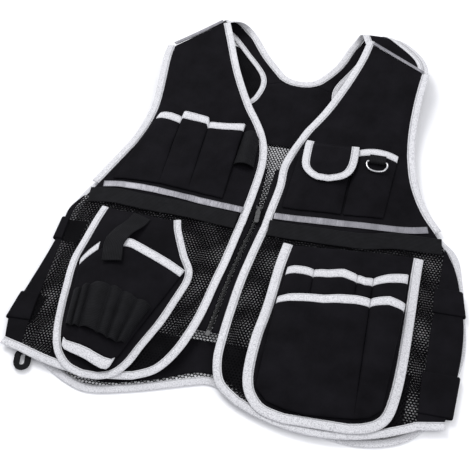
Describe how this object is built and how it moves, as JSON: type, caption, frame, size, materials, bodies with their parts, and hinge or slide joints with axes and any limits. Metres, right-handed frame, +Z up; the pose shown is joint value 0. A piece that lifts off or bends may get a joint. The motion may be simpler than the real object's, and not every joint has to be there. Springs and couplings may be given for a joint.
{
  "type": "utility work vest",
  "caption": "Sleeveless mesh-backed work vest with bound edges, chest pockets, a drill holster, pen and tool pockets, side straps and a front zip, lying closed on its back.",
  "frame": {"origin": "on the underside of the back panel, where the waist line crosses the centre", "axes": "+Z up out of the front, +Y towards the neck, +X towards the wearer's left side; the vest lies on its back, so -Z is the face that rests on the floor"},
  "size_m": [0.5525, 0.6575, 0.0363],
  "materials": {
    "oxford": "plain woven black nylon, matt",
    "mesh": "black knitted mesh, see-through",
    "binding": "heather grey woven edge tape with dark flecks",
    "webbing": "black ribbed webbing",
    "reflective": "silver-grey reflective tape",
    "zip": "black nylon zip",
    "metal": "nickel-plated steel, worn",
    "zip_metal": "zinc casting with black paint, shiny"
  },
  "bodies": {
    "vest": {"right_chest_panel": "oxford", "right_lower_mesh": "mesh", "right_side_panel": "oxford", "right_front_binding": "binding", "right_armhole_binding": "binding", "right_waist_webbing": "webbing", "right_reflective_tape": "reflective", "left_chest_panel": "oxford", "left_lower_mesh": "mesh", "left_side_panel": "oxford", "left_front_binding": "binding", "left_armhole_binding": "binding", "left_waist_webbing": "webbing", "left_reflective_tape": "reflective", "back_mesh": "mesh", "back_binding": "binding", "back_hem_band": "oxford", "back_yoke": "oxford", "right_yoke_binding": "binding", "left_yoke_binding": "binding", "neck_binding": "binding", "left_shoulder_piping": "reflective", "right_shoulder_piping": "reflective", "right_zip_tape": "zip", "left_zip_tape": "zip", "zip_teeth": "zip", "right_chest_pockets": "oxford", "right_chest_pocket_binding": "binding", "right_chest_loop": "webbing", "left_flap_pocket": "oxford", "left_slim_pocket": "oxford", "left_slim_pocket_binding": "binding", "left_flap": "oxford", "left_flap_binding": "binding", "holster_backing": "oxford", "holster_outline_binding": "binding", "holster_front": "oxford", "holster_mouth_binding_outer": "binding", "holster_mouth_binding_inner": "binding", "holster_foot_binding": "binding", "holster_bit_loops": "webbing", "holster_strap": "webbing", "tool_backing": "oxford", "tool_outline_binding": "binding", "pen_pockets": "oxford", "pen_pocket_binding": "binding", "tool_pockets": "oxford", "tool_pocket_binding": "binding", "left_upper_strap": "oxford", "left_lower_strap": "oxford", "right_upper_strap": "oxford", "right_lower_strap": "oxford", "hook_loop": "webbing", "zip_slider": "zip_metal", "zip_stop": "zip_metal", "ring_tab": "webbing"},
    "ring": {"d_ring": "metal"},
    "pull": {"zip_pull": "zip_metal"}
  },
  "joints": [
    {"name": "ring_hinge", "type": "hinge", "parent": "vest", "child": "ring", "pos_m": [0.143, 0.116, 0.02755], "axis": [-1, 0, 0], "range_deg": [0, 150]},
    {"name": "pull_hinge", "type": "hinge", "parent": "vest", "child": "pull", "pos_m": [0.001, 0.015, 0.0184], "axis": [-1, 0, 0], "range_deg": [0, 160]}
  ]
}
